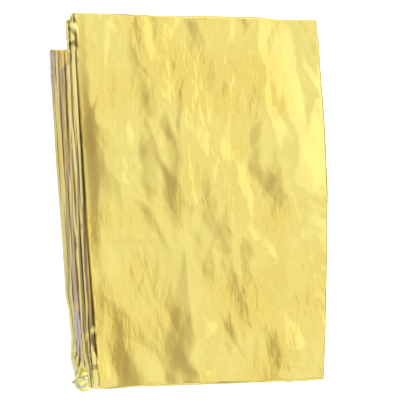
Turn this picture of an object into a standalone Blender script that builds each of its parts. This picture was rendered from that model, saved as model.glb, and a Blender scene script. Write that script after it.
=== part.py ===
"""A rescue blanket of metallised film, pleated back and forth into a flat block.

The block lies on its back face: X runs across the pleats, Y along the folds and
Z up through the layers. Each layer stands for all the plies that the first fold
of the film puts on top of each other. The fold edges on the -X side are uneven,
lean outwards to the head, and are shorter in the lower two thirds of the stack.
"""
import math
from collections import namedtuple

import bmesh
import bpy

MM = 0.001

# driving dimensions, millimetres
OPEN_WIDTH = 1600.0
OPEN_LENGTH = 2100.0
PLEATS_ACROSS = 18
PLEATS_ALONG = 16
LAYER_THICK = 1.0
PANEL_WIDTH = OPEN_WIDTH / PLEATS_ACROSS
PANEL_LENGTH = OPEN_LENGTH / PLEATS_ALONG

# soft unevenness of the whole stack: heights in millimetres, and how fast its
# two crossed waves run across and along the panel, in radians a panel
CROWN_HEIGHT = 0.45
WAVE_HEIGHT = 0.4
FIRST_WAVE = (5.1, 2.3)
SECOND_WAVE = (-1.4, 6.7)

# half waves along a fold, and how far each fold is out of step with the last
WAVER_TURNS = 3.7
WAVER_STEP = 0.9

# share of the length, at the foot, over which a left fold flares out or tucks in
FLARE_SHARE = 0.055

# a deep left fold turns no further across than this, and is flatter than a half circle
TURN_REACH = 1.1

# how finely the section and the length are divided
TURN_STEPS = 5
FLAT_SHARES = (0.1, 0.34, 0.63, 0.9)
STATIONS = (0.0, 0.02, 0.045, 0.08, 0.14, 0.23, 0.34, 0.46, 0.58, 0.7, 0.81, 0.9, 0.96, 1.0)

FOIL_GOLD = (0.83, 0.68, 0.24, 1.0)
FOIL_ROUGHNESS = 0.18

# one row for each left fold, from the back of the block to its front: the gap
# under the fold at its foot and head, and inside it, how far its two ends stop
# short of the panel's length, how far its foot, middle and head reach out past
# the mean pleat, how much it wavers between them, and how far its last stretch
# at the foot flares out or, below zero, is tucked in
LeftFold = namedtuple(
    "LeftFold",
    "under_foot under_head inside_foot inside_head foot_cut head_cut"
    " foot_out mid_out head_out waver flare",
)
LEFT_FOLDS = (
    LeftFold(0.00, 0.00, 0.36, 0.42, 7.2, 8.4, 0.9, 2.7, 3.6, 0.15, -1.3),
    LeftFold(0.36, 0.62, 0.36, 0.42, 7.0, 9.2, 0.9, 2.7, 3.7, 0.15, -1.2),
    LeftFold(0.36, 0.62, 0.36, 0.42, 5.2, 9.9, 0.9, 2.7, 3.6, 0.20, 0.9),
    LeftFold(0.36, 0.58, 0.36, 0.42, 2.8, 10.4, 0.7, 2.6, 3.5, 0.20, 3.6),
    LeftFold(0.36, 0.54, 0.36, 0.40, 6.8, 11.0, 0.9, 2.8, 3.6, 0.25, -0.3),
    LeftFold(0.36, 0.50, 0.36, 0.38, 6.4, 11.4, 0.8, 2.6, 3.2, 0.25, -0.4),
    LeftFold(0.38, 0.80, 0.36, 0.38, 0.5, 0.9, 0.8, 2.6, 3.7, 0.25, -0.2),
    LeftFold(0.38, 0.38, 0.36, 0.38, 0.2, 0.3, 0.8, 2.5, 3.4, 0.20, -0.2),
    LeftFold(0.38, 0.38, 2.50, 0.46, 0.0, 0.0, 0.8, 2.7, 3.9, 0.15, 0.0),
)

# one row for each right fold, with the sheet's two free edges first and last
RightFold = namedtuple("RightFold", "foot_out mid_out head_out foot_cut head_cut waver")
RIGHT_FOLDS = (
    RightFold(-4.8, -1.4, -2.0, 0.7, 0.9, 0.1),
    RightFold(-4.2, 0.2, -0.2, 0.9, 0.8, 0.3),
    RightFold(-5.4, -1.8, -2.0, 0.7, 1.1, 0.2),
    RightFold(-4.4, 0.5, 0.1, 1.0, 1.0, 0.3),
    RightFold(-5.8, -2.2, -2.8, 0.8, 1.3, 0.4),
    RightFold(-4.8, -0.3, -1.0, 0.6, 0.9, 0.2),
    RightFold(-5.4, -1.5, -1.8, 0.5, 0.6, 0.3),
    RightFold(-4.0, 0.8, 0.6, 0.4, 0.4, 0.2),
    RightFold(-3.6, 1.8, 1.5, 0.2, 0.2, 0.2),
    RightFold(-2.9, 2.6, 2.6, 0.1, 0.0, 0.1),
)

# one stop of the folded section: the left and right fold that its layer runs
# between, its share of the way from left to right, the layer itself, and how far
# round the turn to the next layer it is, as an angle that is zero on the flat
Stop = namedtuple("Stop", "left right share layer angle")


def mix(start, end, share):
    return start + (end - start) * share


def layer_heights(along):
    """Mid-surface height of each layer at a share of the length, from the back face up."""
    heights = []
    top = 0.0
    for fold in LEFT_FOLDS:
        under = mix(fold.under_foot, fold.under_head, along)
        inside = mix(fold.inside_foot, fold.inside_head, along)
        for gap in (under, inside):
            heights.append(top + gap + LAYER_THICK / 2)
            top += gap + LAYER_THICK
    return heights


def section_stops():
    """Stops of the back-and-forth section, from the lower free edge to the upper one."""
    stops = []
    layers = 2 * len(LEFT_FOLDS)
    for layer in range(layers):
        left = layer // 2
        right = (layer + 1) // 2
        goes_left = layer % 2 == 0
        shares = sorted((0.0, 1.0) + FLAT_SHARES, reverse=goes_left)
        stops += [Stop(left, right, share, layer, 0.0) for share in shares]
        if layer + 1 < layers:
            turn = [math.pi * step / TURN_STEPS for step in range(1, TURN_STEPS)]
            stops += [Stop(left, right, shares[-1], layer, angle) for angle in turn]
    return stops


def waver(amount, along, row):
    """Sideways waver of a fold, in its own phase, dying out at both ends."""
    phase = math.pi * (WAVER_TURNS * along + WAVER_STEP * row)
    return amount * math.sin(phase) * math.sin(math.pi * along)


def through(foot, mid, head, along):
    """A parabola through the values at the foot, the middle and the head."""
    at_foot = (2 * along - 1) * (along - 1)
    at_mid = 4 * along * (1 - along)
    at_head = along * (2 * along - 1)
    return foot * at_foot + mid * at_mid + head * at_head


def left_edge(row, along):
    """X of a left fold's outside at a share of the length."""
    fold = LEFT_FOLDS[row]
    out = through(fold.foot_out, fold.mid_out, fold.head_out, along)
    out += fold.flare * max(0.0, 1 - along / FLARE_SHARE) ** 2
    return -PANEL_WIDTH / 2 - out - waver(fold.waver, along, row)


def right_edge(row, along):
    """X of a right fold's outside at a share of the length."""
    fold = RIGHT_FOLDS[row]
    out = through(fold.foot_out, fold.mid_out, fold.head_out, along)
    return PANEL_WIDTH / 2 + out + waver(fold.waver, along, row)


def stack_swell(x, y):
    """How much the top of the stack rises or sinks at a place of the panel."""
    across = x / PANEL_WIDTH
    along = y / PANEL_LENGTH
    crown = CROWN_HEIGHT * math.cos(math.pi * across) * math.cos(math.pi * along)
    first = math.sin(FIRST_WAVE[0] * across + FIRST_WAVE[1] * along)
    second = math.cos(SECOND_WAVE[0] * across + SECOND_WAVE[1] * along)
    return crown + WAVE_HEIGHT * first * second


def turn_radius(heights, low):
    """Mid-surface radius of the turn between two layers, counted from the lower one."""
    if 0 <= low < len(heights) - 1:
        return (heights[low + 1] - heights[low]) / 2
    return 0.0


def folded_point(stop, along):
    """Place of one stop of the section at a share of the length along the folds."""
    left = LEFT_FOLDS[stop.left]
    right = RIGHT_FOLDS[stop.right]
    heights = layer_heights(along)
    left_room = min(turn_radius(heights, 2 * stop.left), TURN_REACH) + LAYER_THICK / 2
    right_room = turn_radius(heights, 2 * stop.right - 1) + LAYER_THICK / 2
    x_left = left_edge(stop.left, along) + left_room
    x_right = right_edge(stop.right, along) - right_room
    radius = turn_radius(heights, stop.layer)
    reach = radius if stop.share == 1.0 else -min(radius, TURN_REACH)
    x = mix(x_left, x_right, stop.share) + reach * math.sin(stop.angle)
    z = heights[stop.layer] + radius * (1 - math.cos(stop.angle))
    head = PANEL_LENGTH / 2 - mix(left.head_cut, right.head_cut, stop.share)
    foot = -PANEL_LENGTH / 2 + mix(left.foot_cut, right.foot_cut, stop.share)
    y = mix(foot, head, along)
    lift = (z - heights[0]) / (heights[-1] - heights[0])
    return x, y, z + lift * stack_swell(x, y)


def centre_shift(points):
    """Shift that brings the middle of the points' box over the origin."""
    middles = []
    for axis in (0, 1):
        values = [point[axis] for point in points]
        middles.append((min(values) + max(values)) / 2)
    return middles


def foil_material():
    material = bpy.data.materials.new("metallised_film")
    material.use_nodes = True
    shader = material.node_tree.nodes["Principled BSDF"]
    shader.inputs["Base Color"].default_value = FOIL_GOLD
    shader.inputs["Metallic"].default_value = 1.0
    shader.inputs["Roughness"].default_value = FOIL_ROUGHNESS
    material.diffuse_color = FOIL_GOLD
    return material


def folded_mesh():
    """A flat grid bent into the folded section at every station of its length."""
    stops = section_stops()
    points = [[folded_point(stop, along) for along in STATIONS] for stop in stops]
    shift_x, shift_y = centre_shift([point for column in points for point in column])
    bm = bmesh.new()
    columns = len(stops) - 1
    rows = len(STATIONS) - 1
    bmesh.ops.create_grid(bm, x_segments=columns, y_segments=rows, size=1.0)
    for vert in bm.verts:
        column = round((vert.co.x + 1) / 2 * columns)
        row = round((vert.co.y + 1) / 2 * rows)
        x, y, z = points[column][row]
        vert.co = ((x - shift_x) * MM, (y - shift_y) * MM, z * MM)
    mesh = bpy.data.meshes.new("foil_blanket")
    bm.to_mesh(mesh)
    bm.free()
    mesh.shade_smooth()
    return mesh


def build_blanket(collection):
    blanket = bpy.data.objects.new("foil_blanket", folded_mesh())
    blanket.data.materials.append(foil_material())
    collection.objects.link(blanket)
    shell = blanket.modifiers.new("film_stack", "SOLIDIFY")
    shell.thickness = LAYER_THICK * MM
    shell.offset = 0.0
    shell.use_even_offset = True
    shell.use_rim = True


def main():
    for old in list(bpy.data.objects):
        bpy.data.objects.remove(old, do_unlink=True)
    collection = bpy.data.collections.new("folded_foil_blanket")
    bpy.context.scene.collection.children.link(collection)
    build_blanket(collection)


main()
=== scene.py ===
import math

import bpy
import numpy as np
from mathutils import Matrix, Vector


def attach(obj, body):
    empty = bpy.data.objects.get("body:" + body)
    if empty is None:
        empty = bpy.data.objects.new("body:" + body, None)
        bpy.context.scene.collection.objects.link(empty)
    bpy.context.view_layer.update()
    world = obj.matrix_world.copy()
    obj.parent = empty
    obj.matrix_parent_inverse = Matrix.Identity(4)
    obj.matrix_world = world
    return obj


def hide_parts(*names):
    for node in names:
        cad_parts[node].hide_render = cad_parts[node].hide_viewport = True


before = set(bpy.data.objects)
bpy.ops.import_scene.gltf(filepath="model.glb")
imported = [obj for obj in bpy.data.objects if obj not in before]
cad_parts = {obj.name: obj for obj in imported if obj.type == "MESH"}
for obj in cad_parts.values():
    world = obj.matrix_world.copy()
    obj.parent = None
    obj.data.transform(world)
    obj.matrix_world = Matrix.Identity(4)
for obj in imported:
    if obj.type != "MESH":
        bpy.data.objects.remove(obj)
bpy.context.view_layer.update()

mm = 0.001

# the folded film: sizes in millimetres, with the same folds as the solid
foil = {
    "panelWidth": 1600 / 18,
    "panelLength": 2100 / 16,
    "layerThick": 1.0,
    "crown": 0.45,          # how much the middle of the face swells, and two crossed waves on it
    "waveHeight": 0.4,
    "firstWave": (5.1, 2.3),
    "secondWave": (-1.4, 6.7),
    "mostLift": 2,          # the swell grows with height, up to this many stack heights
    "waverTurns": 3.7,      # half waves along a fold, and how far each is out of step with the last
    "waverStep": 0.9,
    "flareShare": 0.055,    # share of the length that flares out or tucks in at the foot
    "endRound": 0.55,       # how far the ply ends are rounded over, and how thin they end
    "endThin": 0.12,
    "leastReach": 0.15,     # the least that a left fold turns across
    # the fold whose foot gapes like a leaf, counted from the back, and the leaf's sizes
    "ear": {
        "fold": 3,
        "width": 4.4,           # how far in from its tip the leaf is fully open
        "down": 3.0,            # how far its lower ply reaches past the tip
        "up": 2.3,              # how far its upper ply stops short
        "curve": (0.9, 0.5),    # how round the lower and the upper ply's mouth is
        "reach": (5.0, 8.0),    # how far in the leaf starts to close, and over what length
        "droop": (0.58, 7.0),   # how steeply the plies hang down, and over what length
        "droopIn": (2, 10, 14),    # how far in the droop is full, and where and how slowly it ends
        "ring": (-44.9, -62.2, 3.0, 1.9),    # middle and half sizes of the crease round its mouth
        "ringEdge": (0.3, 0.6),    # least half size of its lower half, and how far inside the end
    },
    # the uneven ends of the layers: how much shorter they are in places, how far they bend up or
    # down, and over what length, how fast both change from layer to layer, and over what width
    "ends": {
        "short": 0.7, "shortStep": 3.7, "shortWidth": 8,
        "bend": 0.14, "bendStep": 1.3, "bendWidth": 11, "bendLength": 3.0,
        "frontHead": 0.3,       # how uneven the heads of the two front layers are, of the others'
        "shortSeeds": (70, 71), "bendSeed": 72,
    },
    # columns round a fold on the left and right where it shows, and where it doesn't
    "turnSteps": {"left": 24, "right": 13, "hidden": 5},
    # columns on the flat of the front, of the back and of the layers between them
    "flatColumns": {"front": 108, "back": 26, "inner": 13},
    # places of the first rows at both ends, and how many rows there are between them
    "endRows": (0, 0.04, 0.12, 0.26, 0.46, 0.75, 1.1),
    "middleRows": 224,
    # how many rows a column keeps at each end, and every how many it keeps between them
    "rowSteps": {"lip": (34, 3), "side": (9, 3), "plain": (6, 24)},
}
ear, endRough = foil["ear"], foil["ends"]
nearLeft, nearRight = 0.1, 0.9    # shares of a layer beside which its folds' own columns start

# one row for each fold on the left, back of the block first
leftFoldNames = ("underFoot", "underHead", "insideFoot", "insideHead", "footCut", "headCut",
                 "footOut", "midOut", "headOut", "waver", "flare")
leftFoldRows = (
    (0.00, 0.00, 0.36, 0.42, 7.2, 8.4, 0.9, 2.7, 3.6, 0.15, -1.3),
    (0.36, 0.62, 0.36, 0.42, 7.0, 9.2, 0.9, 2.7, 3.7, 0.15, -1.2),
    (0.36, 0.62, 0.36, 0.42, 5.2, 9.9, 0.9, 2.7, 3.6, 0.20, 0.9),
    (0.36, 0.58, 0.36, 0.42, 2.8, 10.4, 0.7, 2.6, 3.5, 0.20, 3.6),
    (0.36, 0.54, 0.36, 0.40, 6.8, 11.0, 0.9, 2.8, 3.6, 0.25, -0.3),
    (0.36, 0.50, 0.36, 0.38, 6.4, 11.4, 0.8, 2.6, 3.2, 0.25, -0.4),
    (0.38, 0.80, 0.36, 0.38, 0.5, 0.9, 0.8, 2.6, 3.7, 0.25, -0.2),
    (0.38, 0.38, 0.36, 0.38, 0.2, 0.3, 0.8, 2.5, 3.4, 0.20, -0.2),
    (0.38, 0.38, 2.50, 0.46, 0.0, 0.0, 0.8, 2.7, 3.9, 0.15, 0.0),
)
leftFolds = [dict(zip(leftFoldNames, row)) for row in leftFoldRows]

# how much of each left fold stands up as a wall, 1, or slopes back as a wedge, 0, from foot to head
lipPlaces = (0.06, 0.19, 0.33, 0.47, 0.61, 0.86)
lipRows = (
    (0.7, 1.0, 1.0, 1.0, 1.0, 0.9),
    (0.6, 0.8, 0.8, 1.0, 1.0, 0.6),
    (0.8, 0.8, 0.9, 1.0, 0.7, 0.9),
    (0.8, 0.9, 0.7, 0.2, 0.6, 0.6),
    (0.8, 0.9, 0.8, 0.7, 0.5, 0.8),
    (0.5, 0.4, 0.9, 0.6, 1.0, 0.8),
    (0.8, 0.9, 0.3, 0.9, 1.0, 1.0),
    (0.9, 0.8, 0.8, 0.2, 0.6, 1.0),
    (0.9, 0.9, 0.9, 0.8, 0.9, 0.9),
)
# what a wedge and a wall are like: how square below and above the nose, how far the nose
# leans up, how far in the fold starts to turn, and how closed the seams beside it are
lipShape = {"below": (4.0, 6.0), "above": (2.8, 7.0), "lean": (-0.22, 0.0), "room": (1.4, 1.18),
            "closed": (0.0, 1.0)}
leanLimits = (-0.6, 0.5)
seamLeft = 0.10    # how far apart two neighbouring walls stay, millimetres

# places where the left folds are pressed out of true: folds from and to, middle and half length
# along y, how much more they stand up there, how far the nose leans up, how much it shifts out,
# and how much of each is crumpled at random
pressNames = ("first", "last", "y", "half", "wall", "lean", "out", "crumple")
pressRows = (
    (6, 8, 66.0, 20.0, 0.0, 0.10, -0.1, 1.0),
    (4, 5, 50.0, 10.0, 0.5, 0.15, 0.1, 0.6),
    (3, 5, 34.0, 14.0, 0.0, -0.10, 0.0, 0.5),
    (0, 1, 50.0, 16.0, -0.3, -0.15, 0.0, 0.5),
    (2, 4, -42.0, 10.0, 0.0, -0.12, -0.2, 0.3),
    (0, 5, -58.0, 12.0, 0.3, 0.20, 0.0, 0.4),
    (0, 3, -45.5, 10.0, 0.6, 0.00, -0.9, 0.0),
    (0, 3, -54.5, 5.2, 0.0, 0.00, -0.75, 0.0),
    (7, 7, -52.0, 5.5, 0.5, 0.20, 0.0, 0.0),
    (2, 2, -58.5, 4.2, 0.5, 0.00, -0.2, 0.0),
    (0, 1, 0.0, 76.0, 0.0, 0.00, -0.25, 0.0),
    (8, 8, -53.0, 5.5, 1.5, 0.30, 0.2, 0.0),
    (8, 8, -44.0, 1.6, 1.0, 0.30, 0.1, 0.0),
    (7, 8, -62.0, 5.0, 0.5, 0.20, 0.0, 0.5),
    (4, 5, -47.5, 1.6, 1.0, 0.30, 0.1, 0.0),
    (5, 5, -12.0, 6.0, 0.0, -0.20, -0.4, 0.0),
)
presses = [dict(zip(pressNames, row)) for row in pressRows]
pressEdge = 1.6    # how steeply a press sets in at its ends
crumple = {"across": 0.45, "start": 0.2, "along": 3.4, "lean": 0.50, "wall": 0.9, "out": 0.30}
crumpleSeeds = {"lean": 40, "wall": 340, "out": 640}

# one row for each fold on the right, the two free edges first and last
rightFoldNames = ("footOut", "midOut", "headOut", "footCut", "headCut", "waver")
rightFoldRows = (
    (-4.8, -1.4, -2.0, 0.7, 0.9, 0.1),
    (-4.2, 0.2, -0.2, 0.9, 0.8, 0.3),
    (-5.4, -1.8, -2.0, 0.7, 1.1, 0.2),
    (-4.4, 0.5, 0.1, 1.0, 1.0, 0.3),
    (-5.8, -2.2, -2.8, 0.8, 1.3, 0.4),
    (-4.8, -0.3, -1.0, 0.6, 0.9, 0.2),
    (-5.4, -1.5, -1.8, 0.5, 0.6, 0.3),
    (-4.0, 0.8, 0.6, 0.4, 0.4, 0.2),
    (-3.6, 1.8, 1.5, 0.2, 0.2, 0.2),
    (-2.9, 2.6, 2.6, 0.1, 0.0, 0.1),
)
rightFolds = [dict(zip(rightFoldNames, row)) for row in rightFoldRows]
layerCount = 2 * len(leftFolds)


def mix(a, b, t):
    return a + (b - a) * t


def smooth(t):
    t = np.clip(t, 0.0, 1.0)
    return t * t * (3 - 2 * t)


def latticeCell(seed, x, y):
    # random values, -1 to 1, at the corners of each point's cell, and its place in the cell
    size = 64
    grid = np.random.default_rng(seed).uniform(-1, 1, (size, size))
    xi, yi = np.floor(x).astype(int), np.floor(y).astype(int)
    left, right, low, high = xi % size, (xi + 1) % size, yi % size, (yi + 1) % size
    corners = grid[left, low], grid[right, low], grid[left, high], grid[right, high]
    return corners, x - xi, y - yi


def softNoise(seed, x, y):
    # smooth value noise, about -1 to 1
    (a, b, c, d), u, v = latticeCell(seed, x, y)
    u, v = smooth(u), smooth(v)
    return mix(mix(a, b, u), mix(c, d, u), v)


def facetNoise(seed, x, y):
    # flat facets that meet in sharp creases, as film buckles, about -1 to 1
    bend, pace = 0.45, 0.9
    bendX = x + bend * softNoise(seed + 1, x * pace, y * pace)
    bendY = y + bend * softNoise(seed + 2, x * pace, y * pace)
    (a, b, c, d), u, v = latticeCell(seed, bendX, bendY)
    lower = a + (b - a) * u + (c - a) * v
    upper = d + (c - d) * (1 - u) + (b - d) * (1 - v)
    return np.where(u + v < 1, lower, upper)


def through(foot, mid, head, along):
    # a parabola through three places of a fold
    return (foot * (2 * along - 1) * (along - 1) + mid * 4 * along * (1 - along)
            + head * along * (2 * along - 1))


def stations():
    # places along the folds, closer together at both ends
    ends = np.array(foil["endRows"]) / foil["panelLength"]
    middle = np.linspace(ends[-1], 1 - ends[-1], foil["middleRows"])[1:-1]
    return np.concatenate([ends, middle, 1 - ends[::-1]])


def rowsKept(kind):
    # the rows a column keeps: all on the front, fewer on the folds, few where nothing shows
    rows = np.arange(len(along))
    if kind == "front":
        return rows
    fromEnd = np.minimum(rows, rows[::-1])
    dense, step = foil["rowSteps"][kind]
    return rows[(fromEnd < dense) | (rows % step == 0)]


def layerHeights(along):
    heights, top = [], 0.0 * along
    for fold in leftFolds:
        for place in ("under", "inside"):
            gap = mix(fold[place + "Foot"], fold[place + "Head"], along)
            heights.append(top + gap + foil["layerThick"] / 2)
            top = top + gap + foil["layerThick"]
    return np.array(heights)


def waver(amount, along, row):
    phase = np.pi * (foil["waverTurns"] * along + foil["waverStep"] * row)
    return amount * np.sin(phase) * np.sin(np.pi * along)


def pressed(row, along, what):
    # how much a left fold is pressed out of true at each place along it
    y = (along - 0.5) * foil["panelLength"]
    total = 0.0 * y
    for number, press in enumerate(presses):
        if press["first"] <= row <= press["last"]:
            inside = np.clip(pressEdge * (1 - np.abs(y - press["y"]) / press["half"]), 0, 1)
            total = total + inside * press[what]
            across = row * crumple["across"] + crumple["start"] + 0 * y
            rough = facetNoise(crumpleSeeds[what] + 3 * number, across, y / crumple["along"])
            total = total + inside * press["crumple"] * crumple[what] * rough
    return total


def leftEdge(row, along):
    fold = leftFolds[row]
    out = through(fold["footOut"], fold["midOut"], fold["headOut"], along)
    out = out + fold["flare"] * np.maximum(0, 1 - along / foil["flareShare"]) ** 2
    out = out + pressed(row, along, "out")
    return -foil["panelWidth"] / 2 - out - waver(fold["waver"], along, row)


def rightEdge(row, along):
    fold = rightFolds[row]
    out = through(fold["footOut"], fold["midOut"], fold["headOut"], along)
    return foil["panelWidth"] / 2 + out + waver(fold["waver"], along, row)


def swell(x, y):
    across, along = x / foil["panelWidth"], y / foil["panelLength"]
    crown = foil["crown"] * np.cos(np.pi * across) * np.cos(np.pi * along)
    first = np.sin(foil["firstWave"][0] * across + foil["firstWave"][1] * along)
    second = np.cos(foil["secondWave"][0] * across + foil["secondWave"][1] * along)
    return crown + foil["waveHeight"] * first * second


def flatShares(layer, outer):
    # where columns stand across a layer, left to right
    counts = foil["flatColumns"]
    if layer == layerCount - 1 and outer:      # the front panel
        middle = list(np.linspace(0.031, 0.976, counts["front"]))
        return [0, 0.006, 0.013, 0.022] + middle + [0.984, 0.991, 0.996, 1]
    if layer == 0 and outer:                   # the back panel
        middle = list(np.linspace(0.06, 0.95, counts["back"]))
        return [0, 0.006, 0.014, 0.03] + middle + [0.98, 0.992, 1]
    inner = list(np.linspace(0.12, 0.9, counts["inner"]))
    if layer // 2 == ear["fold"]:
        return [0, 0.004, 0.01, 0.018, 0.028, 0.04, 0.054, 0.07, 0.09] + inner + [0.97, 1]
    if outer:
        return [0, 0.005, 0.012, 0.024, 0.05] + inner + [1]
    if layer == layerCount - 1:
        return [0, 0.05] + inner + [0.95, 0.98, 0.992, 0.997, 1]
    return [0, 0.05] + inner + [0.95, 0.978, 0.992, 1]


def sectionColumns(outer):
    # layer, share, angle and kind of each column of the film's outer or inner side
    columns, turnSteps = [], foil["turnSteps"]
    for layer in range(layerCount):
        goesLeft = layer % 2 == 0
        for share in sorted(flatShares(layer, outer), reverse=goesLeft):
            kind = "plain"
            if layer == layerCount - 1:
                kind = "front" if outer or share > nearRight else "plain"
            elif share < nearLeft and (outer or layer // 2 == ear["fold"]):
                kind = "lip"
            elif share > nearRight or layer == 0 and outer:
                kind = "side"
            columns.append((layer, share, 0.0, kind))
        if layer < layerCount - 1:
            steps, kind = turnSteps["hidden"], "plain"
            if goesLeft == outer:
                steps = turnSteps["left" if goesLeft else "right"]
                kind = "lip" if goesLeft else "side"
            last = columns[-1][1]
            columns += [(layer, last, math.pi * step / steps, kind) for step in range(1, steps)]
    return columns


def pathPlace(column):
    # how far along the section a column is, in layers
    layer, share, angle = column[:3]
    turnPart = 0.1
    flat = 1 - share if layer % 2 == 0 else share
    return layer + (1 - turnPart) * flat + turnPart * angle / math.pi


def turnRadius(heights, low):
    if 0 <= low < layerCount - 1:
        return (heights[low + 1] - heights[low]) / 2
    return 0.0 * heights[0]


def lipTrait(row, along, trait):
    # one trait of a left fold's shape at each place along it
    wall = np.clip(np.interp(along, lipPlaces, lipRows[row]) + pressed(row, along, "wall"), 0, 1)
    return mix(*lipShape[trait], smooth(wall))


def lipCurve(row, angle, along):
    # how far out and how low the skin of a left fold is, as shares of its reach
    square = lipTrait(row, along, "above" if angle > math.pi / 2 else "below")
    sine, cosine = math.sin(angle), math.cos(angle)
    out = sine ** (2 / square)
    lean = np.clip(lipTrait(row, along, "lean") + pressed(row, along, "lean"), *leanLimits)
    return out, math.copysign(1, cosine) * abs(cosine) ** (2 / square) - lean * out


def gape(layer, share, angle):
    # how the foot of the ear's two plies draws apart from its tip
    upper = layer % 2
    if layer // 2 != ear["fold"] or angle > 0 and upper:
        return 0.0
    inFromTip = share * foil["panelWidth"]
    start, length = ear["reach"]
    opening = min(1, inFromTip / ear["width"]) ** ear["curve"][upper]
    opening *= 1 - float(smooth((inFromTip - start) / length))
    return ear["up"] * opening if upper else -ear["down"] * opening


def endNoise(layer, x):
    # how short a layer's foot and head are at a place across it, and how far both ends bend up
    def rough(seed, step, width):
        return float(softNoise(seed, np.array(step * layer), np.array(x / width)))

    short = [0.5 + 0.5 * rough(seed, endRough["shortStep"], endRough["shortWidth"])
             for seed in endRough["shortSeeds"]]
    bend = rough(endRough["bendSeed"], endRough["bendStep"], endRough["bendWidth"])
    return endRough["short"] * short[0], endRough["short"] * short[1], endRough["bend"] * bend


def endShape(distance):
    # thins the film stack to a rounded edge
    near = np.clip(distance / foil["endRound"], 0, 1)
    return foil["endThin"] + (1 - foil["endThin"]) * np.sqrt(1 - (1 - near) ** 2)


def turnCurve(left, angle, goesLeft, outer, along):
    # how far out and how low the skin of a fold is, as shares of its reach
    if goesLeft and outer:
        return lipCurve(left, angle, along)
    return math.sin(angle), math.cos(angle)


def seamShift(left, angle, low, along):
    # how far the skin of a left fold moves to close the seam beside it
    near = left if angle <= math.pi / 2 else left + 1
    if not 0 < near < len(leftFolds):
        return 0.0
    gap = mix(leftFolds[near]["underFoot"], leftFolds[near]["underHead"], along)
    return low * (gap - seamLeft) / 2 * lipTrait(left, along, "closed")


def droop(share, y, z, stackHeight):
    # how far the ear's foot, and that of the folds behind it, hangs down
    steep, length = ear["droop"]
    beyond = np.maximum(0, length - foil["panelLength"] / 2 - y)
    hang = steep * beyond * np.minimum(1, z / stackHeight)
    full, ending, over = ear["droopIn"]
    inFromTip = share * foil["panelWidth"]
    return hang * float(smooth(inFromTip / full) * (1 - smooth((inFromTip - ending) / over)))


def filmSide(columns, outer, along):
    # the points of one side of the folded film: columns along the section, rows along the folds
    heights = layerHeights(along)
    half = foil["panelLength"] / 2
    halfThick = foil["layerThick"] / 2
    fromEnd = np.minimum(along, 1 - along) * foil["panelLength"]
    points = np.zeros((len(columns), len(along), 3))
    for i, (layer, share, angle, _) in enumerate(columns):
        left, right, goesLeft = layer // 2, (layer + 1) // 2, layer % 2 == 0
        room = lipTrait(left, along, "room")
        xLeft = leftEdge(left, along) + room
        xRight = rightEdge(right, along) - turnRadius(heights, 2 * right - 1) - halfThick
        skin = halfThick * endShape(fromEnd)
        if layer in (0, layerCount - 1):
            skin = skin * endShape((1 - share) * foil["panelWidth"])
        x = mix(xLeft, xRight, share)
        if angle == 0:
            z = heights[layer] + skin * (-1 if goesLeft == outer else 1)
        else:
            radius = turnRadius(heights, layer)
            reach = radius + skin * (1 if goesLeft == outer else -1)
            out, low = turnCurve(left, angle, goesLeft, outer, along)
            across = reach
            if goesLeft:
                across = np.maximum(room - halfThick + reach - radius, foil["leastReach"])
            x = x + across * out * (-1 if goesLeft else 1)
            z = heights[layer] + radius - reach * low
            if goesLeft and outer:
                z = z - seamShift(left, angle, low, along)
        head = half - mix(leftFolds[left]["headCut"], rightFolds[right]["headCut"], share)
        foot = -half + mix(leftFolds[left]["footCut"], rightFolds[right]["footCut"], share)
        foot = foot + gape(layer, share, angle)
        shortFoot, shortHead, bend = endNoise(layer, x.mean())
        foot = foot + shortFoot
        head = head - shortHead * (endRough["frontHead"] if layer > layerCount - 3 else 1)
        y = mix(foot, head, along)
        if left <= ear["fold"]:
            z = z - droop(share, y, z, heights[2 * ear["fold"]])
        if 0 < layer < layerCount - 1:
            z = z + bend * np.exp(-fromEnd / endRough["bendLength"])
        lift = np.clip((z - heights[0]) / (heights[-1] - heights[0]), 0, foil["mostLift"])
        points[i] = np.stack([x, y, z + lift * swell(x, y)], axis=1)
    return points


def gridNormals(points, sign):
    across, alongStep = np.gradient(points, axis=0), np.gradient(points, axis=1)
    normals = sign * np.cross(across, alongStep)
    return normals / np.maximum(np.linalg.norm(normals, axis=-1, keepdims=True), 1e-9)


def ladder(first, second, firstPlaces, secondPlaces):
    # triangles between two rows of points whose places rise side by side
    faces, i, j = [], 0, 0
    while i < len(first) - 1 or j < len(second) - 1:
        takeFirst = j == len(second) - 1 or (
            i < len(first) - 1 and firstPlaces[i + 1] <= secondPlaces[j + 1])
        if takeFirst:
            faces.append((first[i], second[j], first[i + 1]))
            i += 1
        else:
            faces.append((first[i], second[j], second[j + 1]))
            j += 1
    return faces


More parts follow.
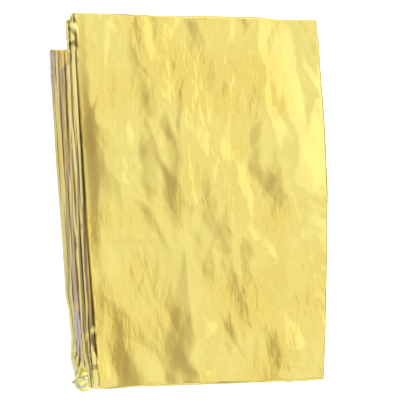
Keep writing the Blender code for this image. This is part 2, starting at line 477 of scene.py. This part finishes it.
def sheetMesh(name, sides, allColumns, paintedLightPerSide):
    # closes the film: its two sides, its two free edges and the strips over the ply ends
    verts, faces, numbers, paintedLight = [], [], [], []
    for points, columns, paintedLightTints in zip(sides, allColumns, paintedLightPerSide):
        numbers.append([])
        for i, column in enumerate(columns):
            rows = rowsKept(column[3])
            first = sum(len(part) for part in verts)
            numbers[-1].append((rows, np.arange(first, first + len(rows))))
            verts.append(points[i, rows])
            paintedLight.append(paintedLightTints[i, rows])

    def join(one, other):
        if len(one[0]) != len(other[0]):
            return ladder(one[1], other[1], one[0], other[0])
        a, b = one[1], other[1]
        return [tuple(face) for face in np.stack([a[:-1], b[:-1], b[1:], a[1:]], axis=-1)]

    out, inn = numbers
    for i in range(len(out) - 1):
        faces += join(out[i], out[i + 1])
    for i in range(len(inn) - 1):
        faces += [face[::-1] for face in join(inn[i], inn[i + 1])]
    faces += join(inn[0], out[0]) + join(out[-1], inn[-1])
    places = [[pathPlace(column) for column in columns] for columns in allColumns]
    for end in (0, -1):
        strip = ladder([n[1][end] for n in out], [n[1][end] for n in inn], *places)
        faces += strip if end == 0 else [face[::-1] for face in strip]
    mesh = bpy.data.meshes.new(name)
    mesh.from_pydata((np.concatenate(verts) * mm).tolist(), [], faces)
    mesh.validate()
    mesh.update()
    paintedLight = np.concatenate(paintedLight)
    # the painted reflections, highlights and shade, one colour per point
    colours = mesh.color_attributes.new("paintedLight", "FLOAT_COLOR", "POINT")
    colours.data.foreach_set("color", np.column_stack([paintedLight, np.ones(len(paintedLight))]).ravel())
    return mesh


along = stations()
outerColumns, innerColumns = sectionColumns(True), sectionColumns(False)
outside = filmSide(outerColumns, True, along)
inside = filmSide(innerColumns, False, along)
everything = np.concatenate([outside.reshape(-1, 3), inside.reshape(-1, 3)])
boxMiddle = (everything.min(0) + everything.max(0)) / 2
for side in (outside, inside):
    side[..., :2] -= boxMiddle[:2]
print("folded section:", len(outerColumns), "outer and", len(innerColumns), "inner columns,",
      len(along), "rows")

# creases and dents in the film's skin, in millimetres: how deep they are, and their size across
# and along the folds
relief = {
    # long creases and ply edges on the folds, and short creases near both ends; steps are how
    # much they differ from fold to fold
    "longDepth": 0.07, "longAcross": 1.3, "longAlong": 42.0, "longStep": (5.3, 2.7),
    "shortDepth": 0.05, "shortAcross": 0.7, "shortAlong": 5.0, "shortStep": (3.1, 1.9),
    "plyDepth": 0.025, "plyAcross": 0.62,
    "plyDrift": (1.5, 3.7, 34.0),      # how much the ply edges drift, by fold and along
    "plyShow": (0.3, 2.3, 15, 0.5),    # how much they show at least, how that changes, how often
    "noseRadius": 1.2,                 # how round a fold's nose is, in layers
    "lipReach": (1.9, 0.8),            # how far round the nose the creases run, and how they fade
    "shortFrom": (48, 14),             # where the short ones start along y, and over what length
    # soft dents and waves of the front, and the crushed edges round it
    "dents": 110, "dentSize": (6.0, 34.0), "dentSlope": 0.036, "dentStretch": 2.6,
    "dentField": (48, 68), "dentSizeBias": 1.6, "dentTurn": 0.35, "dentSides": (3, 6),
    "dentSlopes": (0.5, 1.3), "dentSkew": 0.4,
    "waveDepth": 0.16, "waveAcross": 26.0, "waveAlong": 40.0,
    "crushDepth": 0.10, "crushAcross": 5, "crushAlong": 4, "crushReach": 4, "endFrom": 65.6,
    "frontLimits": (-0.8, 0.7), "frontEdge": 0.05,
    # the back is pressed flat, and a crease runs round the leaf's mouth
    "backDepth": (-0.06, 0.06), "backAcross": 9, "backAlong": 12,
    "ringDepth": 0.28, "ringWidth": 0.16, "ringBelow": -60,
}
# seeds of the random creases and waves
reliefSeeds = {"long": 11, "short": 14, "drift": 17, "plies": 18, "wave": 21, "crush": 24,
               "back": 27, "dents": 52, "bandWobble": 61, "bandRipple": 62}


def pressedDents(x, y):
    # flat-sided dents of many sizes, one over another, most of them drawn out along the folds
    rng = np.random.default_rng(reliefSeeds["dents"])
    low, high = relief["dentSize"]
    halfX, halfY = relief["dentField"]
    height = 0.0 * x
    for _ in range(relief["dents"]):
        size = low * (high / low) ** (rng.random() ** relief["dentSizeBias"])
        centreX, centreY = rng.uniform(-halfX, halfX), rng.uniform(-halfY, halfY)
        turn, sides = rng.normal(0, relief["dentTurn"]), rng.integers(*relief["dentSides"])
        slope = relief["dentSlope"] * rng.uniform(*relief["dentSlopes"]) * rng.choice([-1, 1])
        right, up = x - centreX, y - centreY
        u = right * math.cos(turn) + up * math.sin(turn)
        v = (up * math.cos(turn) - right * math.sin(turn)) / relief["dentStretch"]
        start, gauge, skew = rng.uniform(0, 2 * math.pi), -math.inf, relief["dentSkew"]
        for side in range(sides):
            facing = start + 2 * math.pi * side / sides + rng.uniform(-skew, skew)
            gauge = np.maximum(gauge, u * math.cos(facing) + v * math.sin(facing))
        height = height + slope * np.maximum(0, size / 2 - gauge)
    return height


# painted reflections, highlights and shade on the film's left side and its leaf, as shares of its
# gold: they stand in for what the gold film mirrors
paintedLightTones = {
    "yellow": (1.0, 1.0, 1.0), "brown": (0.57, 0.48, 0.60), "dark": (0.30, 0.25, 0.20),
    "umber": (0.38, 0.32, 0.33), "olive": (0.36, 0.31, 0.21), "ochre": (0.62, 0.54, 0.34),
    "orange": (1.0, 0.74, 0.40), "silver": (0.70, 0.72, 1.90), "mauve": (0.60, 0.53, 0.92),
    "lemon": (1.05, 1.15, 1.28), "tan": (0.74, 0.64, 0.95), "line": (0.82, 0.75, 0.72),
    "gold": (1.03, 0.90, 0.62), "grey": (0.50, 0.50, 1.45), "moss": (0.19, 0.15, 0.08),
}

# bands of painted reflection and shade along the left side, back of the block first: how high each
# band's upper edge is, in folds, at these places along y, and its painted tone at the foot, the
# middle and the head
reflectionBandPlaces = (-58, -46, -34, -19, -8, 11, 31, 47)
reflectionBandRows = (
    (("yellow", "yellow", "silver"), (0.0, 0.0, 0.0, 0.0, 0.0, 0.0, 0.1, 0.8)),
    (("yellow", "yellow", "tan"), (0.0, 0.0, 0.0, 0.0, 0.0, 0.0, 0.3, 1.9)),
    (("lemon", "yellow", "yellow"), (0.9, 0.9, 0.85, 1.3, 1.7, 2.7, 2.0, 2.6)),
    (("silver", "brown", "brown"), (1.0, 0.95, 1.3, 2.3, 3.0, 4.2, 3.3, 3.3)),
    (("yellow", "yellow", "brown"), (1.1, 1.3, 1.9, 2.7, 3.5, 4.6, 4.1, 3.8)),
    (("silver", "mauve", "brown"), (3.7, 3.8, 4.2, 4.3, 4.3, 5.0, 5.0, 5.4)),
    (("yellow", "yellow", "yellow"), (5.3, 4.1, 4.8, 5.3, 5.7, 6.4, 5.8, 6.2)),
    (("olive", "umber", "brown"), (6.1, 5.3, 6.1, 6.6, 6.7, 7.1, 6.3, 6.5)),
    (("yellow", "yellow", "yellow"), (6.35, 6.0, 6.6, 7.0, 7.25, 7.75, 7.95, 8.2)),
    (("moss", "moss", "umber"), (6.6, 6.6, 7.45, 7.9, 8.1, 8.75, 8.8, 8.8)),
    (("ochre", "ochre", "brown"), (6.8, 6.9, 7.9, 8.4, 8.6, 8.9, 9.0, 9.0)),
    (("moss", "olive", "brown"), (9.9, 9.9, 9.9, 9.9, 9.9, 9.9, 9.9, 9.9)),
)

# patches of another painted reflection tone on the bands, the lemon ones painted highlights and the
# dark ones painted shade:
# from and to along y, from and to up the side at the patch's foot and at its head, in folds, and
# how strong it is
patchNames = ("foot", "head", "footLow", "footHigh", "headLow", "headHigh", "paintedLight", "amount")
paintedPatchRows = (
    (-58.3, -50.8, 6.85, 9.3, 6.9, 7.1, "lemon", 1.0),
    (-60.0, -58.3, 6.8, 9.6, 6.8, 9.6, "ochre", 1.0),
    (-67.0, -60.0, 5.9, 9.6, 6.3, 9.6, "lemon", 1.0),
    (-47.2, -45.4, 7.0, 8.7, 7.2, 8.3, "lemon", 1.0),
    (-49.5, -46.5, 4.6, 5.9, 5.2, 5.9, "orange", 1.0),
    (-48.3, -46.8, 5.3, 6.0, 5.3, 6.1, "lemon", 1.0),
    (-46.5, -33.0, 5.3, 5.9, 6.3, 6.9, "orange", 0.5),
    (-38.5, -36.0, 2.3, 3.5, 2.6, 3.7, "orange", 0.9),
    (-41.5, -38.8, 3.2, 3.9, 3.3, 4.0, "dark", 0.6),
    (-54.6, -50.6, 0.9, 1.9, 0.4, 1.6, "lemon", 1.0),
    (-60.5, -53.5, 1.6, 5.0, 1.3, 1.9, "lemon", 1.0),
    (-61.0, -54.0, -0.5, 1.3, -0.5, 0.8, "lemon", 1.0),
    (-61.5, -60.0, -0.5, 4.5, -0.5, 4.5, "mauve", 0.6),
    (-56.6, -54.0, 3.9, 4.4, 4.1, 4.6, "orange", 0.8),
    (-58.4, -56.6, 3.9, 4.5, 3.9, 4.5, "umber", 0.7),
    (-10.5, -8.0, 6.5, 6.9, 6.5, 6.9, "dark", 1.0),
    (50.3, 54.5, 3.4, 5.6, 3.3, 5.6, "gold", 1.0),
    (47.0, 52.0, 3.3, 3.6, 3.3, 3.8, "orange", 0.8),
    (48.5, 53.5, 5.6, 6.7, 5.6, 6.9, "brown", 0.9),
    (24.0, 36.0, 3.5, 3.9, 3.4, 3.7, "orange", 0.6),
    (47.0, 50.3, 3.7, 3.8, 3.7, 5.4, "gold", 0.9),
    (30.0, 44.0, 4.2, 4.8, 4.4, 5.3, "orange", 0.25),
    (12.0, 25.0, 2.8, 3.0, 3.1, 3.3, "yellow", 0.8),
    (22.0, 38.0, 6.9, 7.1, 6.8, 7.0, "brown", 0.9),
    (50.0, 55.4, 6.1, 7.2, 6.1, 7.2, "tan", 1.0),
    (55.4, 57.4, 6.1, 8.1, 6.4, 8.0, "dark", 0.9),
    (57.0, 58.4, 6.1, 7.2, 6.1, 7.6, "lemon", 1.0),
    (57.4, 60.6, 7.5, 8.4, 6.0, 6.8, "lemon", 1.0),
    (58.6, 59.4, 7.6, 8.2, 7.6, 8.0, "orange", 1.0),
    (59.2, 62.4, 7.5, 8.4, 6.1, 7.0, "dark", 0.8),
    (62.2, 63.6, 6.1, 7.6, 6.1, 7.5, "lemon", 1.0),
    (61.0, 64.0, 7.6, 8.8, 7.7, 8.7, "lemon", 1.0),
    (63.8, 65.8, 6.9, 7.4, 7.2, 7.9, "dark", 0.7),
)
patches = [dict(zip(patchNames, row)) for row in paintedPatchRows]

# how the painted reflection bands and patches lie on the side
reflectionBandLook = {
    "edge": 0.12,                  # how soft the edge of a band is, in folds
    "patchEnd": 0.6,               # how soft the ends of a patch are, in millimetres
    "slant": (0.993, 0.0034, 0.33, -2.63),    # how they slant down towards the back
    "slope": 0.37,                 # how steeply the left side is looked at as they are laid on it
    "middleFrom": (-45, 16),       # where the middle's tone sets in along y, and over what length
    "headFrom": (18, 24),          # the same for the head's tone
    "wobble": (0.16, 0.9, 17),     # how much the edges waver, in folds, and how fast
    "ripple": (0.05, 2.5, 3),
    "lines": 5.3,                  # fine lines of painted shade in a fold
    "lineDrift": (2.5, 0.6, 34),   # how much they drift along the side, and how fast
    "lineFrom": (0.7, 0.25),       # how wide and soft they are
    "lineGaps": (2.3, 15, 0.5),    # how fast they come and go, and how often they show
}
leafHighlightFrom = (-56.0, 2.0)    # where the leaf's painted highlight sets in along y, and over what length
leafRimShade = (0.9, 0.5)       # how wide and soft the painted shade on the rim of its upper ply is
leafCreaseShade = (0.2, 0.1)    # the same for the painted shade on the crease round its mouth
paintedLightDepth = 2              # how far in from a fold's edge the side's painted reflections fade out, millimetres


def acrossSide(points, columns):
    # how far across the left side each point lies, in folds, from its back edge to the front's
    # edge, as it is seen from the front left
    seen = points[..., 0] + reflectionBandLook["slope"] * points[..., 2]
    pastEnds = 70    # millimetres
    places = np.linspace(-pastEnds, pastEnds, 2 * pastEnds + 1)
    back = [i for i, column in enumerate(columns)
            if column[3] == "lip" and column[0] // 2 < ear["fold"]]
    back = np.min([np.interp(places, points[i, :, 1], seen[i]) for i in back], axis=0)
    front = [column[:3] for column in columns].index((layerCount - 1, 0, 0))
    front = np.interp(places, points[front, :, 1], seen[front])
    start = np.interp(points[..., 1], places, back)
    end = np.interp(points[..., 1], places, front)
    return len(leftFolds) * (seen - start) / (end - start)


def plyEdgeShadeLines(up, y):
    # 1 on the fine lines of painted shade that ply edges leave along the side, 0 between them
    drift, driftUp, driftAlong = reflectionBandLook["lineDrift"]
    gapUp, gapAlong, often = reflectionBandLook["lineGaps"]
    wide, soft = reflectionBandLook["lineFrom"]
    phase = up * reflectionBandLook["lines"]
    phase = phase + drift * softNoise(reliefSeeds["drift"], driftUp * up, y / driftAlong)
    lines = smooth((np.abs(phase % 1 - 0.5) * 2 - wide) / soft)
    return lines * smooth(softNoise(reliefSeeds["plies"], gapUp * up, y / gapAlong) + often)


def sideReflectionsAndShade(up, height, y):
    # the painted reflections and shade of the left side, by the place across it and the height, in
    # folds, and along y
    wobble = 0.0
    for seed, waves in (("bandWobble", "wobble"), ("bandRipple", "ripple")):
        amount, acrossPace, length = reflectionBandLook[waves]
        wobble = wobble + amount * softNoise(reliefSeeds[seed], acrossPace * up, y / length)
    keep, keepUp, shiftUp, shift = reflectionBandLook["slant"]
    y = y * (keep + keepUp * height) + shiftUp * height + shift
    paintedLight = np.ones(y.shape + (3,))
    toMiddle = smooth((y - reflectionBandLook["middleFrom"][0]) / reflectionBandLook["middleFrom"][1])[:, None]
    toHead = smooth((y - reflectionBandLook["headFrom"][0]) / reflectionBandLook["headFrom"][1])[:, None]
    for names, edges in reflectionBandRows[::-1]:
        foot, middle, head = (np.array(paintedLightTones[name]) for name in names)
        own = mix(mix(foot, middle, toMiddle), head, toHead)
        below = (np.interp(y, reflectionBandPlaces, edges) - up - wobble) / reflectionBandLook["edge"]
        paintedLight = mix(paintedLight, own, smooth(below + 0.5)[:, None])
    paintedLight = paintedLight * mix(1, np.array(paintedLightTones["line"]), plyEdgeShadeLines(up, y)[:, None])
    for patch in patches:
        length = patch["head"] - patch["foot"]
        t = (y - patch["foot"]) / length
        low = mix(patch["footLow"], patch["headLow"], t)
        high = mix(patch["footHigh"], patch["headHigh"], t)
        within = np.minimum(np.minimum(t, 1 - t) * length / reflectionBandLook["patchEnd"],
                            np.minimum(up - low, high - up) / reflectionBandLook["edge"])
        inside = smooth(within + 0.5)[:, None] * patch["amount"]
        paintedLight = mix(paintedLight, np.array(paintedLightTones[patch["paintedLight"]]), inside)
    return paintedLight


def leafRing(x, y):
    # 1 on the crease round the leaf's mouth, less inside it; its lower half follows the film's end
    centreX, centreY, halfX, halfY = ear["ring"]
    least, inside = ear["ringEdge"]
    halfY = np.where(y > centreY, halfY, np.maximum(least, centreY - y[..., :1] - inside))
    return np.hypot((x - centreX) / halfX, (y - centreY) / halfY)


def filmPaintedLight(points, columns, outer):
    # the painted light of every point of the film's skin: plain gold but for painted reflections
    # and shade on the left side and a painted highlight with a painted shade rim on the ear
    paintedLight = np.ones(points.shape)
    top = points[[column[3] == "lip" for column in columns], :, 2].max(0)
    across = acrossSide(points, columns) if outer else None
    for i, (layer, share, angle, kind) in enumerate(columns):
        onLeaf = layer == 2 * ear["fold"] and not outer
        if kind != "lip" and not onLeaf:
            continue
        y, inFromTip = points[i, :, 1], share * foil["panelWidth"]
        fade, leafHighlightAndShade, side = 0.0, 1.0, np.ones(points[i].shape)
        if layer // 2 == ear["fold"]:
            fade = smooth((leafHighlightFrom[0] - y) / leafHighlightFrom[1])[:, None]
            rimShade = smooth((y[0] + leafRimShade[0] - y) / leafRimShade[1])
            if onLeaf:
                fromRing = np.abs(leafRing(points[i, :, 0], y) - 1)
                rimShade = smooth((leafCreaseShade[0] - fromRing) / leafCreaseShade[1])
            # the rim and the crease round the leaf's mouth get painted shade, the leaf itself a
            # painted highlight
            rimPaintedShade = paintedLightTones["grey" if angle or not outer else "mauve"]
            leafHighlightAndShade = mix(np.array(paintedLightTones["lemon"]), np.array(rimPaintedShade), rimShade[:, None])
        if outer:
            side = sideReflectionsAndShade(across[i], len(leftFolds) * points[i, :, 2] / top, y)
        deep = float(smooth(inFromTip / paintedLightDepth))
        paintedLight[i] = mix(mix(side, 1, deep), leafHighlightAndShade, fade)
    return paintedLight


def aroundTurn(layer, share, angle, outer):
    # how far each column is from the nose of its fold, counted over the skin
    radius = foil["layerThick"] * relief["noseRadius"]
    shows = (layer % 2 == 0) == outer
    fromTurn = np.where(shows, share, 1 - share) * foil["panelWidth"]
    flat = np.where(shows, -1, 1) * (fromTurn + radius * np.pi / 2)
    return np.where((angle > 0) & shows, (angle - np.pi / 2) * radius, flat)


def foldRelief(fold, around, y):
    # long creases and ply edges along the folds, and short creases near their ends
    full, fades = relief["lipReach"]
    onLip = np.exp(-np.maximum(0, np.abs(around) - full) / fades)
    nearEnd = smooth((np.abs(y) - relief["shortFrom"][0]) / relief["shortFrom"][1])
    stepX, stepY = relief["longStep"]
    longFacets = facetNoise(reliefSeeds["long"], around / relief["longAcross"] + stepX * fold,
                            y / relief["longAlong"] + stepY * fold)
    amount, step, length = relief["plyDrift"]
    drift = amount * softNoise(reliefSeeds["drift"], step * fold + 0 * y, y / length)
    plies = np.abs((around / relief["plyAcross"] + drift) % 1 - 0.5) * 2 - 0.5
    least, step, length, often = relief["plyShow"]
    shown = smooth(softNoise(reliefSeeds["plies"], step * fold + around, y / length) + often)
    plies = plies * (least + (1 - least) * shown)
    stepX, stepY = relief["shortStep"]
    shortFacets = facetNoise(reliefSeeds["short"], around / relief["shortAcross"] + stepX * fold,
                             y / relief["shortAlong"] + stepY * fold)
    height = relief["longDepth"] * longFacets + relief["plyDepth"] * plies
    return onLip * (height + nearEnd * relief["shortDepth"] * shortFacets)


def frontRelief(x, y, share):
    # dents, waves and crushed edges of the front panel
    wave = softNoise(reliefSeeds["wave"], x / relief["waveAcross"], y / relief["waveAlong"])
    panel = pressedDents(x, y)
    panel = panel + relief["waveDepth"] * wave
    fromEdge = np.minimum(relief["endFrom"] - np.abs(y), (1 - share) * foil["panelWidth"])
    crushed = np.exp(-np.maximum(0, fromEdge) / relief["crushReach"])
    facets = facetNoise(reliefSeeds["crush"], x / relief["crushAcross"], y / relief["crushAlong"])
    panel = panel + relief["crushDepth"] * crushed * facets
    return smooth(share / relief["frontEdge"]) * np.clip(panel, *relief["frontLimits"])


def addRelief(points, columns, outer):
    normals = gridNormals(points, 1 if outer else -1)
    layer, share, angle = (np.array([column[k] for column in columns])[:, None] for k in range(3))
    x, y = points[..., 0], points[..., 1]
    fold = layer // 2 if outer else (layer + 1) // 2
    height = foldRelief(fold, aroundTurn(layer, share, angle, outer), y)
    flat = angle == 0
    if outer:
        height = height + ((layer == layerCount - 1) & flat) * frontRelief(x, y, share)
        sunk, depth = relief["backDepth"]
        facets = facetNoise(reliefSeeds["back"], x / relief["backAcross"], y / relief["backAlong"])
        height = np.where((layer == 0) & flat, sunk - depth * facets, height)
    else:
        ring = np.exp(-((leafRing(x, y) - 1) / relief["ringWidth"]) ** 2)
        onLeaf = (layer == 2 * ear["fold"]) * flat * (y < relief["ringBelow"])
        height = height + relief["ringDepth"] * ring * onLeaf
    return points + normals * height[..., None]


paintedLightTints = filmPaintedLight(outside, outerColumns, True), filmPaintedLight(inside, innerColumns, False)
outside = addRelief(outside, outerColumns, True)
inside = addRelief(inside, innerColumns, False)
outside[..., 2] = np.maximum(outside[..., 2], 0)
mesh = sheetMesh("foilSheet", (outside, inside), (outerColumns, innerColumns), paintedLightTints)
mesh.shade_smooth()
sheet = bpy.data.objects.new("foilSheet", mesh)
bpy.context.scene.collection.objects.link(sheet)
print("folded film:", sum(len(face.vertices) - 2 for face in mesh.polygons), "triangles")

# the film's finish
filmLook = {
    "gold": (0.95, 0.84, 0.28, 1),
    "deepGold": (0.93, 0.76, 0.21, 1),
    "roughness": 0.13,
    "stretch": (1.0, 0.4, 1.0),    # crinkles run along the folds
    "crinkles": ((190, 0.00016), (520, 0.00005)),    # how many in a metre, and how deep
    "patches": 34,                 # crinkled and calm patches in a metre
    "patchEdge": (0.42, 0.62),     # where calm patches end and crinkled ones are full
    "calm": 0.15,                  # how much a calm patch still has of crinkles and deep gold
}


def addNode(tree, kind, inputs, mode=None):
    # adds a node and gives its inputs plain values or other nodes' outputs
    node = tree.nodes.new("ShaderNode" + kind)
    if kind == "Mix":
        node.data_type = "RGBA"
    elif mode:
        node.operation = mode
    for key, value in inputs.items():
        if isinstance(value, bpy.types.NodeSocket):
            tree.links.new(value, node.inputs[key])
        else:
            node.inputs[key].default_value = value
    return node


def mapRange(tree, value, fromRange, toRange=(0, 1)):
    # maps one range of a value to another, and stops at its ends
    names = ("From Min", "From Max", "To Min", "To Max")
    inputs = dict(zip(names, (*fromRange, *toRange)))
    return addNode(tree, "MapRange", {"Value": value, **inputs}).outputs["Result"]


def filmMaterial():
    mat = bpy.data.materials.new("goldFilm")
    mat.use_nodes = True
    tree = mat.node_tree
    place = addNode(tree, "TexCoord", {}).outputs["Object"]
    patchNoise = addNode(tree, "TexNoise", {"Scale": filmLook["patches"], "Vector": place})
    crinkled = mapRange(tree, patchNoise.outputs["Fac"], filmLook["patchEdge"],
                        (filmLook["calm"], 1))
    hue = addNode(tree, "Mix", {0: crinkled, 6: filmLook["gold"], 7: filmLook["deepGold"]})
    # the painted reflections, highlights and shade of the attribute multiply the gold
    paintedLight = addNode(tree, "VertexColor", {})
    paintedLight.layer_name = "paintedLight"
    goldWithPaintedLight = addNode(tree, "VectorMath", {0: hue.outputs[2], 1: paintedLight.outputs["Color"]}, "MULTIPLY")
    stretched = addNode(tree, "Mapping", {"Scale": filmLook["stretch"], "Vector": place})
    normal = {}
    for count, depth in filmLook["crinkles"]:
        cells = addNode(tree, "TexVoronoi", {"Scale": count, "Vector": stretched.outputs["Vector"]})
        cells.feature = "DISTANCE_TO_EDGE"
        bump = addNode(tree, "Bump", {"Distance": depth, "Height": cells.outputs["Distance"],
                                      "Strength": crinkled, **normal})
        normal = {"Normal": bump.outputs["Normal"]}
    shader = tree.nodes["Principled BSDF"]
    shader.inputs["Metallic"].default_value = 1.0
    shader.inputs["Roughness"].default_value = filmLook["roughness"]
    tree.links.new(goldWithPaintedLight.outputs["Vector"], shader.inputs["Base Color"])
    tree.links.new(normal["Normal"], shader.inputs["Normal"])
    return mat


mesh.materials.append(filmMaterial())
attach(sheet, "root")
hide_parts("foil_blanket")

# the plain studio: a pale floor, two soft boxes at the ends, a dim left and a bright right
white = (1, 1, 1, 1)
studio = {
    "floorSize": 4.0,
    "floorColour": (0.95, 0.95, 0.95, 1),
    "floorRoughness": 0.9,
    "floorGlow": 0.25,
    # the floor as the film mirrors it, a glow with painted shade beside the block and painted light
    # a little way out: metres from the block's middle, and its brightness there
    "floorInFilm": [(0.048, 0.72), (0.054, 0.82), (0.059, 0.98), (0.074, 1.12), (0.14, 1.0),
                    (0.40, 0.78)],
    "brightToward": (0.62, 0.22, 0.75),
    "skyStops": [
        (0.20, (0.31, 0.24, 0.29, 1)),
        (0.70, (0.40, 0.33, 0.32, 1)),
        (0.88, (0.56, 0.48, 0.40, 1)),
        (0.93, (0.84, 0.80, 0.70, 1)),
        (0.955, (1.05, 1.03, 0.98, 1)),
        (0.970, (0.80, 0.76, 0.68, 1)),
        (0.985, (1.15, 1.15, 1.12, 1)),
    ],
    "lowSky": (0.45, 0.55),    # how far up the sky dims to the horizon, and how bright it is there
    "endSky": (0.30, 0.50),    # where the bright ends of the sky start, and where they are full
    "endColour": (1.15, 1.13, 1.08, 1),
    "boxPlace": (0.0, 1.1, 1.0),
    "boxSize": (1.0, 0.7),
    "boxWatts": 24,
}


def seenOrMirrored(tree, seen, mirrored, surface):
    # what the camera sees directly, and what the film mirrors instead
    isSeen = addNode(tree, "LightPath", {}).outputs["Is Camera Ray"]
    blend = addNode(tree, "MixShader", {"Fac": isSeen, 1: mirrored, 2: seen})
    tree.links.new(blend.outputs["Shader"], surface)


def floorMaterial():
    mat = bpy.data.materials.new("paleFloor")
    mat.use_nodes = True
    tree = mat.node_tree
    place = addNode(tree, "TexCoord", {}).outputs["Object"]
    split = addNode(tree, "SeparateXYZ", {0: place})
    fromMiddle = addNode(tree, "Math", {0: split.outputs["X"]}, "ABSOLUTE").outputs["Value"]
    brightness = studio["floorInFilm"][0][1]
    for near, far in zip(studio["floorInFilm"], studio["floorInFilm"][1:]):
        rise = mapRange(tree, fromMiddle, (near[0], far[0]), (0, far[1] - near[1]))
        brightness = addNode(tree, "Math", {0: brightness, 1: rise}, "ADD").outputs["Value"]
    # what the film mirrors is this glow, darker beside the block as painted shade and brighter
    # further out as painted light
    mirrored = addNode(tree, "Emission", {"Strength": brightness})
    shader = tree.nodes["Principled BSDF"]
    shader.inputs["Base Color"].default_value = studio["floorColour"]
    shader.inputs["Roughness"].default_value = studio["floorRoughness"]
    shader.inputs["Emission Color"].default_value = white
    shader.inputs["Emission Strength"].default_value = studio["floorGlow"]
    seenOrMirrored(tree, shader.outputs["BSDF"], mirrored.outputs["Emission"],
                   tree.nodes["Material Output"].inputs["Surface"])
    return mat


def studioFloor():
    bpy.ops.mesh.primitive_plane_add(size=studio["floorSize"], location=(0, 0, 0))
    floor = bpy.context.object
    floor.name = "studioFloor"
    floor.data.materials.append(floorMaterial())


def studioWorld():
    world = bpy.data.worlds.new("studio")
    bpy.context.scene.world = world
    world.use_nodes = True
    tree = world.node_tree
    direction = addNode(tree, "TexCoord", {}).outputs["Generated"]
    bright = Vector(studio["brightToward"]).normalized()
    lean = addNode(tree, "VectorMath", {0: direction, 1: bright}, "DOT_PRODUCT")
    ramp = addNode(tree, "ValToRGB", {"Fac": lean.outputs["Value"]})
    stops = studio["skyStops"]
    first, last = ramp.color_ramp.elements
    first.position, first.color = stops[0]
    last.position, last.color = stops[-1]
    for position, colour in stops[1:-1]:
        ramp.color_ramp.elements.new(position).color = colour
    split = addNode(tree, "SeparateXYZ", {0: direction})
    dimUpTo, dimmest = studio["lowSky"]
    strength = mapRange(tree, split.outputs["Z"], (0, dimUpTo), (dimmest, 1))
    sideways = addNode(tree, "Math", {0: split.outputs["Y"]}, "ABSOLUTE")
    ends = mapRange(tree, sideways.outputs["Value"], studio["endSky"])
    colour = addNode(tree, "Mix", {0: ends, 6: ramp.outputs["Color"], 7: studio["endColour"]})
    sky = addNode(tree, "Background", {"Color": colour.outputs[2], "Strength": strength})
    plain = tree.nodes["Background"]
    plain.inputs["Color"].default_value = white
    seenOrMirrored(tree, plain.outputs["Background"], sky.outputs["Background"],
                   tree.nodes["World Output"].inputs["Surface"])


def softbox(name, place):
    light = bpy.data.lights.new(name, "AREA")
    light.shape = "RECTANGLE"
    light.size, light.size_y = studio["boxSize"]
    light.energy = studio["boxWatts"]
    lamp = bpy.data.objects.new(name, light)
    lamp.location = place
    lamp.rotation_euler = (-Vector(place)).to_track_quat("-Z", "Y").to_euler()
    lamp.visible_glossy = False
    bpy.context.scene.collection.objects.link(lamp)


studioFloor()
studioWorld()
boxX, boxY, boxZ = studio["boxPlace"]
softbox("headBox", (boxX, boxY, boxZ))
softbox("footBox", (boxX, -boxY, boxZ))

# the camera stands left of the block's face and a little above it, as one looks at a parcel:
# angles in degrees, and lengths in millimetres
view = {
    "yaw": 23.4, "pitch": -6.5, "roll": 3.0,
    "shiftRight": 2.72, "shiftUp": 0.45, "distance": 826.0,
    "pixelFocal": 2340.0, "frameSize": 400.0, "sensor": 36.0,
    "faceHeight": 26.3,
    "clip": (0.01, 20),    # metres
}


def addCamera():
    camera = bpy.data.cameras.new("camera")
    camera.sensor_width = view["sensor"]
    camera.lens = view["pixelFocal"] / view["frameSize"] * view["sensor"]
    camera.clip_start, camera.clip_end = view["clip"]
    turn = (Matrix.Rotation(math.radians(view["roll"]), 3, "Z")
            @ Matrix.Rotation(math.radians(view["pitch"]), 3, "X")
            @ Matrix.Rotation(math.radians(view["yaw"]), 3, "Y"))
    back = turn.transposed()
    offset = Vector((view["shiftRight"], view["shiftUp"], -view["distance"]))
    place = -(back @ offset) + Vector((0, 0, view["faceHeight"]))
    holder = bpy.data.objects.new("camera", camera)
    holder.matrix_world = Matrix.Translation(place * mm) @ back.to_4x4()
    bpy.context.scene.collection.objects.link(holder)
    bpy.context.scene.camera = holder


addCamera()
bpy.context.scene.view_settings.view_transform = "Standard"
print("studio and camera set")
